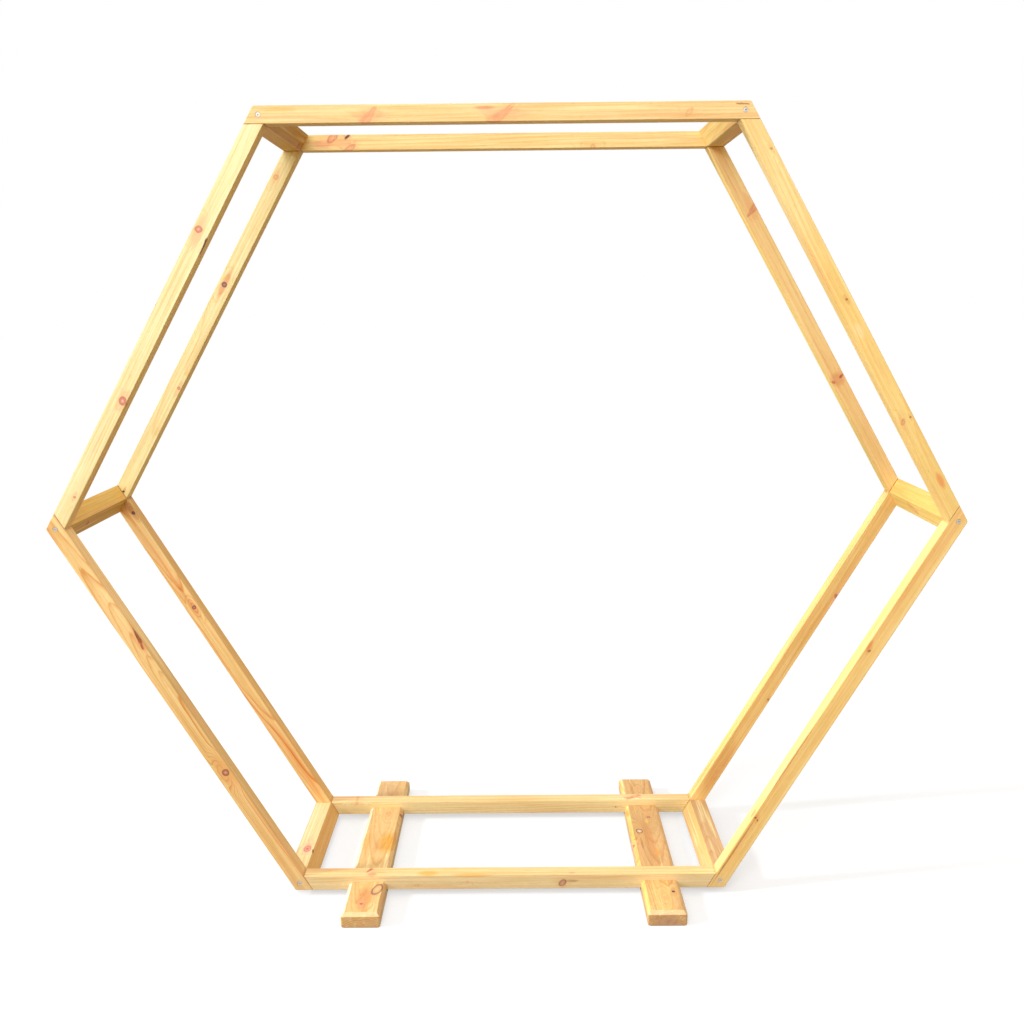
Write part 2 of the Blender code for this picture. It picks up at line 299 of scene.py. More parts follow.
def planedRedwoodPine(name, piece):
    # Scots pine, planed and lightly oiled: cream earlywood with orange latewood lines, pink and
    # cream drifts along the grain, pink to purple knots, and a dull satin gloss
    material = bpy.data.materials.new("planed redwood pine " + name.replace("_", " "))
    material.use_nodes = True
    tree = material.node_tree
    shader = tree.nodes["Principled BSDF"]
    world = add(tree, "ShaderNodeTexCoord")["Object"]
    normal = add(tree, "ShaderNodeNewGeometry")["Normal"]

    # the timber's own axes in mm: along it, across it, and deep, which is to the front in a
    # rail or leg and up in a foot board
    along, across, place = timberAxes(name)
    deep = along.cross(across)
    # the log it was sawn from: its middle runs at a small angle to the timber
    runAcross, runDeep = piece["logRun"]
    logAlong = (along + across * runAcross + deep * runDeep).normalized()
    logAcross = (across - logAlong * across.dot(logAlong)).normalized()
    atAcross, atDeep = piece["logMiddle"]
    logPlace = place + (across * atAcross + deep * atDeep) * mm
    timber, log = (add(tree, "ShaderNodeMapping", {
        "Vector": world, "Location": start, "Scale": (mm, mm, mm),
        "Rotation": Matrix((one, two, one.cross(two))).transposed().to_euler(),
    }, vector_type="TEXTURE")[0]
        for start, one, two in ((place, along, across), (logPlace, logAlong, logAcross)))

    # every timber takes its own part of each pattern
    own = Vector(piece["apart"]) * piece["seed"]
    moved = add(tree, vector, {0: timber, 1: own}, operation="ADD")[0]
    grain = {}
    for pattern, (length, width, detail) in piece["patterns"].items():
        at = add(tree, vector, {0: moved, 1: (1 / length, 1 / width, 1 / width)},
                 operation="MULTIPLY")[0]
        grain[pattern] = add(tree, noise, {"Vector": at, "Scale": 1.0, "Detail": detail})

    # knots, with their outlines made uneven by about 2 mm
    wandered = add(tree, vector, {0: grain["uneven"]["Color"], 1: piece["wander"], 2: timber},
                   operation="MULTIPLY_ADD")[0]
    wandered = add(tree, vector, {0: wandered, 1: Vector(piece["wander"]) / 2},
                   operation="SUBTRACT")[0]
    shapes = [add(tree, "ShaderNodeGroup", {
        "Point": wandered, "Centre": branch["at"], "Lean": branch["lean"],
        "Radius": branch["radius"], "Reach": branch["reach"], "Spread": branch["spread"],
    }, node_tree=knotShape) for branch in piece["knots"]]

    # growth rings round the log's middle, pushed aside by each knot
    bent = add(tree, vector, {
        0: grain["bend"]["Color"], 1: (0, piece["wave"], piece["wave"]), 2: log},
        operation="MULTIPLY_ADD")[0]
    flat = add(tree, vector, {0: bent, 1: (0, 1, 1)}, operation="MULTIPLY")[0]
    out = add(tree, vector, {0: flat}, operation="LENGTH")["Value"]
    for shape in shapes:
        out = add(tree, maths, {0: out, 1: shape["Pull"]}, operation="ADD")[0]
    out = add(tree, maths, {0: grain["ripple"]["Fac"], 1: piece["ripple"], 2: out},
              operation="MULTIPLY_ADD")[0]
    # rings are wide in good years and narrow in bad ones
    count = add(tree, maths, {0: out, 1: 1 / piece["ringWidth"]}, operation="MULTIPLY")[0]
    slow = add(tree, maths, {0: out, 1: 1 / piece["spell"]}, operation="MULTIPLY")[0]
    years = add(tree, noise, {"W": slow, "Scale": 1.0, "Detail": 2.0}, noise_dimensions="1D")
    age = add(tree, maths, {0: years["Fac"], 1: piece["spellRings"], 2: count},
              operation="MULTIPLY_ADD")[0]
    phase = add(tree, maths, {0: age}, operation="FRACT")[0]
    late = add(tree, "ShaderNodeValToRGB", {"Fac": phase}, stops=piece["ringTone"])[0]
    # some years' lines are faint
    change, faintest = piece["boldness"]
    year = add(tree, maths, {0: age, 1: change}, operation="MULTIPLY")[0]
    bold = add(tree, noise, {"W": year, "Scale": 1.0, "Detail": 1.0}, noise_dimensions="1D")
    bold = add(tree, fade, {"Value": bold["Fac"], "From Min": 0.3, "From Max": 0.7,
                            "To Min": faintest, "To Max": 1.0})[0]
    lateness = add(tree, maths, {0: late, 1: bold}, operation="MULTIPLY")[0]
    lines = add(tree, maths, {0: lateness, 1: piece["contrast"]}, operation="MULTIPLY")[0]

    # over the sapwood lie the heartwood, which is darker and pinker; painted light and shade, a
    # colour for each face that looks one way, lighter or darker as light falls on it; cream and pink
    # drifts;
    # and patches of resin, heartwood or damp
    toHeart = add(tree, fade, {
        "Value": out, "From Min": piece["heartwood"] + piece["heartBlur"],
        "From Max": piece["heartwood"] - piece["heartBlur"]}, **smooth)[0]
    layers = [(toHeart, piece["heart"])]
    low, high, most = piece["faceLightAndShadeTurn"]
    # painted light and shade: a face turned this way takes its own colour, lighter or darker as
    # light falls on it
    for (towardsAcross, towardsDeep), colour in piece["faces"]:
        way = across * towardsAcross + deep * towardsDeep
        turned = add(tree, vector, {0: normal, 1: way}, operation="DOT_PRODUCT")["Value"]
        layers.append((add(tree, fade, {
            "Value": turned, "From Min": low, "From Max": high, "To Max": most})[0], colour))
    for low, high, most, colour in piece["drifts"]:
        layers.append((add(tree, fade, {
            "Value": grain["drift"]["Fac"], "From Min": low, "From Max": high, "To Max": most},
            **smooth)[0], colour))
    edge, full = piece["stainEdge"]
    for centre, size, colour, most in piece["stains"]:
        off = add(tree, vector, {0: wandered, 1: centre}, operation="SUBTRACT")[0]
        off = add(tree, vector, {0: off, 1: [1 / one for one in size]}, operation="MULTIPLY")[0]
        off = add(tree, vector, {0: off}, operation="LENGTH")["Value"]
        layers.append((add(tree, fade, {
            "Value": off, "From Min": edge, "From Max": full, "To Max": most}, **smooth)[0], colour))
    wood = linear(piece["sapwood"])
    for share, colour in layers:
        wood = add(tree, mix, {0: share, 6: wood, 7: linear(colour)}, **inColour)[2]
    # latewood takes red and yellow from the wood's own colour
    wood = add(tree, mix, {0: lines, 6: wood, 7: linear(piece["latewood"])}, **inColour,
               blend_type="MULTIPLY")[2]

    # streaks, fibres, clouds and the brown flecks of resin canals darken or lighten the wood
    # between two levels of their patterns
    streaks, mottle = piece["streaks"], piece["mottle"]
    shade = 1.0
    for pattern, low, high, dark, light in (
            ("streak", 0.3, 0.7, 1 - streaks, 1 + streaks), ("fibre", 0.3, 0.7, 0.97, 1.03),
            ("uneven", 0.3, 0.7, 1 - mottle, 1 + mottle), ("cloud", 0.3, 0.7, 0.94, 1.06),
            ("fleck", 0.78, 0.70, 0.86, 1.0)):
        one = add(tree, fade, {"Value": grain[pattern]["Fac"], "From Min": low, "From Max": high,
                               "To Min": dark, "To Max": light})[0]
        shade = add(tree, maths, {0: shade, 1: one}, operation="MULTIPLY")[0]
    warm = add(tree, "ShaderNodeCombineColor", {
        channel: add(tree, maths, {0: shade, 1: power}, operation="POWER")[0]
        for channel, power in piece["warmth"].items()})[0]
    wood = add(tree, mix, {0: 1.0, 6: wood, 7: warm}, **inColour, blend_type="MULTIPLY")[2]
    for branch, shape in zip(piece["knots"], shapes):
        wood = add(tree, "ShaderNodeGroup", {
            **{part: shape[part] for part in ("Near", "Around", "Inside", "Streak")},
            **{part.capitalize(): linear(branch[part])
               for part in ("middle", "heart", "rim", "halo")},
            **{part.capitalize(): branch[part] for part in ("share", "edge", "soft")},
            "Wood": wood}, node_tree=knotColour)[0]

    # sawn ends are greyer than the planed sides, with clear rings
    turned = add(tree, vector, {0: normal, 1: along}, operation="DOT_PRODUCT")["Value"]
    turned = add(tree, maths, {0: turned}, operation="ABSOLUTE")[0]
    low, high = piece["endTurn"]
    endShare = add(tree, fade, {"Value": turned, "From Min": low, "From Max": high})[0]
    early, dense = (linear(tone) for tone in piece["endTones"])
    endTone = add(tree, mix, {0: late, 6: early, 7: dense}, **inColour)[2]
    wood = add(tree, mix, {0: endShare, 6: wood, 7: endTone}, **inColour,
               blend_type="MULTIPLY")[2]
    # chamfers across the grain are pale, and wear, dirt and painted shade lie over them
    slope, far, close, most = piece["chamferTurn"]
    slant = add(tree, maths, {0: turned, 1: slope}, operation="SUBTRACT")[0]
    slant = add(tree, maths, {0: slant}, operation="ABSOLUTE")[0]
    slant = add(tree, fade, {"Value": slant, "From Min": far, "From Max": close, "To Max": most})[0]
    marks = addWearAndShade(tree, name, timber, world, normal, grain)
    for share, colour in [(slant, piece["chamfer"])] + marks:
        wood = add(tree, mix, {0: share, 6: wood, 7: linear(colour)}, **inColour)[2]
    tree.links.new(wood, shader.inputs["Base Color"])

    dull, satin = piece["roughness"]
    gloss = add(tree, fade, {"Value": lateness, "To Min": dull, "To Max": satin})[0]
    tree.links.new(gloss, shader.inputs["Roughness"])
    shader.inputs["Metallic"].default_value = 0.0
    shader.inputs["IOR"].default_value = piece["ior"]
    shader.inputs["Specular IOR Level"].default_value = piece["specular"]

    # latewood stands about 0.05 mm proud of the earlywood, and the fibres half of that
    fibres, strength, proud = piece["relief"]
    height = add(tree, maths, {0: grain["fibre"]["Fac"], 1: fibres, 2: lateness},
                 operation="MULTIPLY_ADD")[0]
    bump = add(tree, "ShaderNodeBump", {
        "Height": height, "Strength": strength, "Distance": proud * mm})
    tree.links.new(bump[0], shader.inputs["Normal"])
    return material


# the colours of wear and dirt, and of painted shade at the joints, round the screws and near the
# ground
wearAndShade = {"arris": "#C08A50", "jointStainAndShade": "#9A5A34", "screw": "#94663C",
        "floor": "#A88458", "grime": "#C09058", "dustAndGroundShade": "#D2C09A"}


# Dirt along the arrises and on the feet, a darker lower edge on the feet, end-grain stain with
# painted shade along the joints, painted shade round the screws, and painted shade with some dust
# near the ground: shares and colours
def addWearAndShade(tree, name, timber, world, normal, grain):
    at = add(tree, split, {0: timber})
    out, deep = (add(tree, maths, {0: at[axis]}, operation="ABSOLUTE")[0] for axis in ("X", "Z"))
    patchy = add(tree, fade, {"Value": grain["uneven"]["Fac"], "From Min": 0.35, "From Max": 0.65,
                              "To Min": 0.35, "To Max": 1.0})[0]
    side = name.split("_", 1)[1]
    thick = arch["timber"] / mm
    marks = []  # what is measured, where each mark of dirt and of painted shade starts and is full, its share, colour and limits
    if side in sides:
        half = thick / 2
        middle = add(tree, maths, {0: at["Y"], 1: half}, operation="ADD")[0]
        edge = add(tree, maths, {0: middle}, operation="ABSOLUTE")[0]
        arris = add(tree, maths, {0: edge, 1: deep}, operation="MINIMUM")[0]
        marks.append((arris, half - 2.2, half - 0.4, 0.35, wearAndShade["arris"]))
        # a butt end runs at 60 degrees; a through timber meets its neighbours on its inner edge
        inner = arch["sideLength"] / mm / 2 - thick / math.sqrt(3)
        if sides.index(side) % 2:
            slope = add(tree, maths, {0: at["Y"], 1: 1 / math.sqrt(3), 2: out},
                        operation="MULTIPLY_ADD")[0]
            end = inner - thick / math.sqrt(3)
            # end-grain stain with painted shade: the butt end is darkened where it meets its
            # neighbour
            marks.append((slope, end - 2.6, end - 0.4, 0.6, wearAndShade["jointStainAndShade"]))
        else:
            # painted shade: a darker ring round each countersink, where the recess is in shade
            beside = add(tree, maths, {0: out, 1: cornerRadius / mm / 2}, operation="SUBTRACT")
            ring = add(tree, "ShaderNodeCombineXYZ", {"X": beside[0], "Y": middle})
            ring = add(tree, vector, {0: ring[0]}, operation="LENGTH")["Value"]
            ring = add(tree, fade, {"Value": ring, "From Min": 9.0, "From Max": 6.6}, **smooth)[0]
            marks.append((ring, 0.0, 1.0, 0.5, wearAndShade["screw"]))
            # end-grain stain with painted shade along the inner edge where the butt ends meet it
            there = add(tree, fade, {"Value": out, "From Min": inner - 8, "From Max": inner - 4})[0]
            marks.append((at["Y"], 2.4 - thick, 0.3 - thick, 0.5, wearAndShade["jointStainAndShade"], there))
    elif side == "foot":
        # a darker lower edge, and handled faces
        marks.append((at["Z"], -34.0, -42.0, 0.45, wearAndShade["floor"]))
        marks.append((grain["cloud"]["Fac"], 0.50, 0.66, 0.35, wearAndShade["grime"]))
    else:
        end = arch["depth"] / mm / 2 - thick
        # end-grain stain with painted shade where the rail meets the frames
        marks.append((out, end - 3.0, end - 0.4, 0.55, wearAndShade["jointStainAndShade"]))
        # a diamond's arrises lie at the ends of its diagonals
        edge = add(tree, maths, {0: at["Y"]}, operation="ABSOLUTE")[0]
        edge, tall = (add(tree, maths, {0: size, 1: 1 / most}, operation="MULTIPLY")[0]
                      for size, most in ((edge, thick / math.sqrt(3)), (deep, thick)))
        arris = add(tree, maths, {0: edge, 1: tall}, operation="MAXIMUM")[0]
        marks.append((arris, 0.93, 0.98, 0.35, wearAndShade["arris"]))
    # painted shade with some splashed dust: upright faces turn greyer towards the ground, where less
    # light reaches them
    upright = add(tree, split, {0: normal})["Z"]
    upright = add(tree, maths, {0: upright}, operation="ABSOLUTE")[0]
    upright = add(tree, fade, {"Value": upright, "From Min": 0.6, "From Max": 0.3})[0]
    raised = add(tree, split, {0: world})["Z"]
    marks.append((raised, 0.085, 0.03, 0.4, wearAndShade["dustAndGroundShade"], upright))
    shares = []
    for measured, start, full, most, colour, *limits in marks:
        share = add(tree, fade, {"Value": measured, "From Min": start, "From Max": full,
                                 "To Max": most})[0]
        for limit in (*limits, patchy):
            share = add(tree, maths, {0: share, 1: limit}, operation="MULTIPLY")[0]
        shares.append((share, colour))
    return shares


# Each timber: the colours of its sapwood and heartwood; the width of its rings; where the middle
# of its log lay, across and deep; how the log's middle runs off, in mm per mm; how far the
# heartwood reaches; and what differs from the pine above. A face given by its direction across
# and deep has a colour of its own: painted light and shade, lighter or darker as light falls on
# that face. Knots and stains are placed along, across and deep; a knot has its radius, and a
# stain has its half sizes, its colour and its share.
timbers = {
    "front_top_rail": {
        "sapwood": "#F6DA9D", "heart": "#F2C789", "ringWidth": 6.0, "logMiddle": (-60, -30),
        "logRun": (0.004, 0.01), "heartwood": 46.0, "contrast": 0.5,
        "faces": [((-1, 0), "#F6DA82")],
        "knots": [
            knot("spike", (-332, -27, 20), 9, lean=(0.62, 0.78, 0.05), reach=27, spread=-0.6,
                 share=0.72, heart="#E49C78", rim="#CC7A5C"),
            knot("spike", (3, -26, 20), 10, lean=(0.78, 0.62, 0.05), reach=40, spread=-0.7,
                 share=0.72, heart="#E49C78", rim="#CC7A5C"),
            knot("pale", (471, -26, 22), 7, lean=(0.6, 0.7, 0.5), reach=16, share=0.5),
            knot("brown", (604, -8, 22), 1.6, lean=(1, -0.05, 0), reach=16)],
        "stains": [
            ((-42, -11, 22), (28, 5, 10), "#E59A7C", 0.75),
            ((-325, -28, 22), (48, 16, 12), "#F6C090", 0.5),
            ((18, -26, 22), (60, 15, 12), "#F6C090", 0.5),
            ((-560, -10, 22), (50, 6, 20), "#E9B458", 0.5)],
    },
    "front_upper_left_leg": {
        "sapwood": "#F9F2BD", "heart": "#F6E3A8", "ringWidth": 6.5, "logMiddle": (-50, -70),
        "logRun": (0.006, 0.006), "heartwood": 50.0, "contrast": 0.35,
        "faces": [((-1, 0), "#F8DC89")],
        "knots": [
            knot("rosy", (289, -15, 22), 9, lean=(-0.3, 0.45, 1), reach=18),
            knot("rosy", (-206, -33, 22), 10, lean=(0.7, 0.2, 1), reach=18, heart="#D8807A"),
            knot("rosy", (-505, -31, 0), 3.5),
            knot("dark", (256, -45.5, 17), 4.8, lean=(1, 0.05, 0.08), reach=22, middle="#7A4A26",
                 heart="#70401E", rim="#5A341A")],
        "stains": [((262, -24, 22), (34, 7, 10), "#F6C49C", 0.5)],
    },
    "front_upper_right_leg": {
        "sapwood": "#FADE8F", "heart": "#F4C77C", "ringWidth": 6.0, "logMiddle": (20, -60),
        "logRun": (-0.01, 0.01), "heartwood": 30.0, "contrast": 0.5, "streaks": 0.08,
        "knots": [
            knot("brown", (-498, -11, 22), 3, lean=(0.5, 0.4, 0.7), reach=10, share=0.6),
            knot("brown", (-68, -16, 22), 3, lean=(0.5, 0.3, 0.8), reach=10),
            knot("pale", (293, -32, 22), 5.5, lean=(0.6, -0.5, 0.6), reach=24, soft=0.5,
                 heart="#E0946A", rim="#C87450", share=0.8),
            knot("brown", (291, -9, 22), 2.6)],
        "stains": [
            ((485, -15, 22), (26, 9, 12), "#F09458", 0.65),
            ((20, -24, 22), (24, 12, 12), "#FFEFB8", 0.6),
            ((-430, -20, 0), (260, 60, 60), "#FFEDB2", 0.55)],
    },
    "front_lower_left_leg": {
        "sapwood": "#F2D291", "heart": "#ECBC7E", "ringWidth": 3.4, "logMiddle": (-42, -35),
        "logRun": (0.06, -0.03), "heartwood": 40.0, "contrast": 0.95, "latewood": "#E4B07C",
        "wave": 22.0,
        "faces": [((-1, 0), "#DFC07F")],
        "knots": [
            knot("dark", (262, -44, 21), 3.6, lean=(1, -0.16, 0.02), reach=34, spread=-0.5,
                 middle="#8A4630", heart="#824028", rim="#7A3A26", halo="#E08850", soft=0.3),
            knot("brown", (222, -38, 22), 3.4, lean=(0.9, -0.3, 0.2), reach=14, middle="#9A4E36",
                 heart="#A85A40", rim="#8A4430", halo="#E87C50"),
            knot("ring", (-216, -28, 0), 10.5, lean=(0.1, 0.0, 1), middle="#ECB4A0",
                 heart="#B0685A", rim="#7C3E38")],
        "stains": [
            ((232, -36, 22), (42, 11, 16), "#E68A58", 0.65),
            ((-216, -28, 22), (70, 18, 16), "#F0A868", 0.35),
            ((500, -20, 0), (420, 60, 60), "#FFE2A4", 0.75)],
    },
    "front_lower_right_leg": {
        "sapwood": "#FBDB91", "heart": "#F5C57E", "ringWidth": 5.5, "logMiddle": (-80, 10),
        "logRun": (0.004, 0.004), "heartwood": 20.0, "contrast": 0.35, "streaks": 0.07,
        "faces": [((-1, 0), "#FBDF94")],
        "knots": [
            knot("brown", (-187, -31, 22), 3.2, lean=(0.5, -0.4, 0.6), reach=10, middle="#B05A3C",
                 heart="#BC6A48", rim="#94503A"),
            knot("brown", (394, -38, 22), 3, lean=(0.2, -0.4, 0.8), reach=10, middle="#8A4230",
                 heart="#9A4C34"),
            knot("brown", (398, -29, 22), 2.8, lean=(0.2, 0.2, 0.8), reach=10, middle="#8A4230",
                 heart="#9A4C34")],
        "stains": [
            ((515, -37, 22), (130, 2.6, 8), "#8E5A2C", 0.8),
            ((185, -43, 22), (135, 2.4, 5), "#A8703C", 0.65),
            ((470, -38, 22), (130, 10, 12), "#E6A662", 0.4),
            ((-200, -38, 22), (20, 6, 10), "#E48E54", 0.6),
            ((390, -44, 8), (16, 6, 8), "#E89A62", 0.6)],
    },
    "front_bottom_rail": {
        "sapwood": "#F2E0AD", "heart": "#EECD97", "ringWidth": 5.0, "logMiddle": (-70, -40),
        "logRun": (0.006, 0.003), "heartwood": 38.0, "contrast": 0.55,
        "faces": [((-1, 0), "#F0CF91")],
        "knots": [
            knot("rosy", (413, -43, -6), 4.4, lean=(0.7, 0.3, 1), reach=15, spread=-0.4,
                 heart="#C06A54", middle="#B05640", rim="#A85848"),
            knot("ring", (-154, -18, 22), 9, lean=(-0.55, -0.47, 0.69), reach=13, middle="#DC9880",
                 heart="#BC7262", rim="#6A2E34"),
            knot("ring", (270, -13, 22), 3.5, lean=(0.8, 0, 1), reach=10, middle="#FBE8BC",
                 heart="#F4DCA8", rim="#B4864C"),
            knot("pale", (123, -22, 0), 4),
            knot("rosy", (-181, -44, 12), 2.4, lean=(1, 0, 0), reach=8)],
        "stains": [
            ((-180, -24, 22), (22, 5, 12), "#9A6444", 0.55),
            ((402, -44, 14), (16, 8, 10), "#E08A66", 0.6),
            ((239, -44, 10), (32, 10, 14), "#EBB04A", 0.7),
            ((112, -44, 20), (60, 8, 10), "#EDB858", 0.6),
            ((385, -44, 4), (28, 6, 2), "#D08E50", 0.5)],
    },
    "back_top_rail": {
        "sapwood": "#F8E09D", "heart": "#F4CD89", "ringWidth": 5.5, "logMiddle": (-60, -40),
        "logRun": (0.015, 0.01), "heartwood": 52.0, "contrast": 0.7,
        "faces": [((-1, 0), "#FAD86F")],
        "knots": [
            knot("pale", (-503, -9, 22), 9.5, lean=(0.7, 0.6, 0.5), reach=28, middle="#F2B080",
                 heart="#ECA076", rim="#BC5846", share=0.85, edge=1.0, soft=0.35),
            knot("pale", (-455, -40, 22), 8, lean=(0.8, 0.5, 0.4), reach=22, middle="#F2B080",
                 heart="#ECA076", rim="#C46450", share=0.7, edge=0.9, soft=0.4),
            knot("pale", (263, -44, 22), 8, lean=(0, 1, 1), reach=14, edge=1.0),
            knot("dark", (-460, -6.5, 22), 3.2, lean=(1, 0.9, 0), reach=9)],
        "stains": [
            ((-532, -27, 22), (34, 12, 14), "#EE9E7C", 0.6),
            ((-470, -24, 22), (50, 14, 14), "#F0AC84", 0.5)],
    },
    "back_upper_left_leg": {
        "sapwood": "#F7EDB4", "heart": "#F3D89E", "ringWidth": 5.5, "logMiddle": (-20, -50),
        "logRun": (0.01, 0.012), "heartwood": 36.0,
        "faces": [((-1, 0), "#F2D980")],
        "knots": [
            knot("pale", (498, -15, 0), 8, heart="#EC9C74", share=0.8),
            knot("purple", (143, -20, 0), 8.5),
            knot("rosy", (-206, -36, 0), 5),
            knot("dark", (-583, -26, 20), 3.4)],
        "stains": [((143, -20, 22), (60, 8, 14), "#F0AE80", 0.55)],
    },
    "back_upper_right_leg": {
        "sapwood": "#FFE09E", "heart": "#FED290", "ringWidth": 6.0, "logMiddle": (-60, -40),
        "logRun": (0.004, 0.006), "heartwood": 60.0, "contrast": 0.4, "streaks": 0.08,
        "faces": [((-1, 0), "#FFE88E")],
        "knots": [
            knot("spike", (-372, -16, 20), 8, lean=(-0.4, 1, 0.1), reach=26, spread=0.6,
                 heart="#E2916C", rim="#CC7656", share=0.8, soft=0.45),
            knot("rosy", (200, -10, 22), 4.5, lean=(-0.35, 0.9, 0.6), reach=12, heart="#B45844",
                 middle="#A84838"),
            knot("rosy", (205, -38, 22), 4.2, lean=(0.4, 0.3, 0.8), reach=12, heart="#D48060",
                 middle="#CC7456", rim="#BC6048")],
        "stains": [((203, -24, 22), (24, 20, 14), "#E08A58", 0.5)],
    },
    "back_lower_left_leg": {
        "sapwood": "#F1CD8B", "heart": "#EBB77A", "ringWidth": 4.2, "logMiddle": (-25, -45),
        "logRun": (0.02, 0.018), "heartwood": 48.0, "contrast": 0.95, "latewood": "#E4AC78",
        "faces": [((-1, 0), "#E4BE73")],
        "knots": [
            knot("dark", (551, -36, 22), 5.5, lean=(0.3, 0.3, 1), reach=11, heart="#6A3A52",
                 middle="#8A5A70"),
            knot("purple", (196, -28, 0), 6.5, halo="#E08050")],
        "stains": [
            ((575, -34, 22), (34, 12, 12), "#B27C44", 0.6),
            ((330, -24, 22), (150, 4, 12), "#E08448", 0.45),
            ((-430, -27, 22), (190, 12, 14), "#EC9850", 0.5)],
    },
    "back_lower_right_leg": {
        "sapwood": "#F7D38B", "heart": "#F1BD79", "ringWidth": 5.0, "logMiddle": (-50, -60),
        "logRun": (0.004, 0.006), "heartwood": 60.0, "contrast": 0.45,
        "faces": [((-1, 0), "#F7DF90")],
        "knots": [
            knot("pale", (470, -20, 0), 5),
            knot("rosy", (-233, -4, 22), 6, lean=(0.6, 0.5, 0.8), reach=14, heart="#C88468",
                 middle="#C07A60", rim="#B0705C"),
            knot("brown", (171, -6, 22), 3.2, reach=8)],
        "stains": [
            ((450, -22, 22), (110, 26, 16), "#DC9C54", 0.45),
            ((-80, -12, 22), (220, 5, 10), "#D09A54", 0.25)],
    },
    "back_bottom_rail": {
        "sapwood": "#F7E5AA", "heart": "#F3D195", "ringWidth": 5.0, "logMiddle": (-60, -30),
        "logRun": (0.014, 0.004), "heartwood": 46.0, "contrast": 0.75, "latewood": "#E8B888",
        "faces": [((-1, 0), "#F3D49A")],
        "knots": [
            knot("pale", (514, -40, 22), 6),
            knot("brown", (-352, -20, 22), 2.8, reach=9),
            knot("spike", (-412, -44, -2), 7, lean=(-0.85, 0, -0.5), reach=30, heart="#C87C50",
                 rim="#A85C3C")],
    },
    # painted shade: this rail's sapwood and heartwood are darkened for the shade that both its faces
    # lie in
    "top_left_cross_rail": {
        "sapwood": "#CBA043", "heart": "#C49038", "ringWidth": 5.0, "logMiddle": (40, -50),
        "logRun": (0.02, 0.03), "heartwood": 40.0, "contrast": 0.7,
        "knots": [knot("brown", (159, -22, 6), 10, lean=(0.2, 0.87, -0.5))],
    },
    "top_right_cross_rail": {
        "sapwood": "#F4D686", "heart": "#EFC070", "ringWidth": 6.0, "logMiddle": (40, 50),
        "logRun": (0.03, 0.02), "heartwood": 50.0,
    },
    "middle_right_cross_rail": {
        "sapwood": "#FDD97E", "heart": "#FDC66E", "ringWidth": 6.0, "logMiddle": (60, 30),
        "logRun": (0.02, 0.01), "heartwood": 50.0, "contrast": 0.5,
        "faces": [((-0.87, -0.5), "#FCC970"), ((-0.87, 0.5), "#FFE586")],
        "knots": [
            knot("spike", (36, -14, 20), 8, lean=(0.9, -0.2, -0.3), reach=34, heart="#EE9E62",
                 rim="#D8804C", share=0.7)],
    },
    "bottom_right_cross_rail": {
        "sapwood": "#EBCB88", "heart": "#E6BA78", "ringWidth": 4.0, "logMiddle": (30, 20),
        "logRun": (0.03, 0.01), "heartwood": 30.0, "contrast": 0.65, "streaks": 0.05,
        "faces": [((-0.87, -0.5), "#CBA576"), ((-0.87, 0.5), "#EBC37E")],
    },
    "bottom_left_cross_rail": {
        "sapwood": "#E9C787", "heart": "#E5B576", "ringWidth": 5.0, "logMiddle": (40, -40),
        "logRun": (0.02, 0.02), "heartwood": 40.0,
        "faces": [((-0.87, 0.5), "#F2DCA8"), ((-0.87, -0.5), "#E2B56A")],
        "knots": [
            knot("rosy", (-95, -15, 17), 11.5, lean=(0.82, -0.5, 0.28), reach=30, middle="#B45450",
                 heart="#DC9486", rim="#C47672"),
            knot("dark", (-107, -25, 0), 2.6, lean=(1, 0, 0.2), reach=9)],
        "stains": [((-60, -15, 17), (50, 14, 20), "#F2B890", 0.35)],
    },
    "middle_left_cross_rail": {
        "sapwood": "#E7C36B", "heart": "#E2AE5C", "ringWidth": 6.0, "logMiddle": (50, 40),
        "logRun": (0.01, 0.02), "heartwood": 50.0,
        "faces": [((-0.87, 0.5), "#F1CB6E"), ((-0.87, -0.5), "#D3AF54")],
        "knots": [knot("brown", (-72, -14, -20), 7, lean=(0.5, -0.8, -0.4))],
    },
    "left_foot": {
        "sapwood": "#E4C283", "heart": "#DDAE75", "ringWidth": 5.0, "logMiddle": (6, -66),
        "logRun": (0.01, 0.055), "heartwood": 40.0, "latewood": "#E4B88C",
        "wave": 18.0, "streaks": 0.05, "mottle": 0.07,
        "faces": [((0.707, 0.707), "#FFF2DC"), ((-0.707, 0.707), "#E6C98D")],
        "knots": [
            knot("ring", (-289, -32, 0), 14.5, lean=(0.86, -0.24, 0.5), edge=1.4, heart="#E8BE80",
                 rim="#86505A"),
            knot("rosy", (-361, 3, 0), 5, lean=(0.3, 0.1, 1), middle="#C87058", heart="#B8604C"),
            knot("purple", (160, -54, -8), 9, lean=(0, -0.7, 0.7), reach=30),
            knot("pale", (164, -11, 0), 9, edge=0.9, rim="#B87848")],
        "stains": [
            ((-25, -31, 0), (64, 34, 14), "#DFA642", 0.85),
            ((-20, 36, 0), (60, 16, 14), "#E8B458", 0.5),
            ((320, 10, 0), (90, 50, 10), "#C8A280", 0.5),
            ((-335, -2, 0), (62, 24, 20), "#DC925C", 0.65),
            ((-330, -52, -6), (150, 10, 12), "#BE8A58", 0.6),
            ((-53, 4, 0), (50, 8, 10), "#D59858", 0.5)],
    },
    "right_foot": {
        "sapwood": "#D8B279", "heart": "#D1A169", "ringWidth": 5.0, "logMiddle": (-4, -58),
        "logRun": (0.004, 0.05), "heartwood": 40.0, "contrast": 0.7, "latewood": "#DCB084",
        "wave": 18.0, "streaks": 0.05, "mottle": 0.07,
        "faces": [((0.707, 0.707), "#FBD27A"), ((-0.707, 0.707), "#E2C393")],
        "knots": [
            knot("ring", (35, 26, 0), 10.5, lean=(0.9, 0, 1), edge=1.3, middle="#FFF8EC",
                 heart="#EFD0B8", rim="#5A2E3A"),
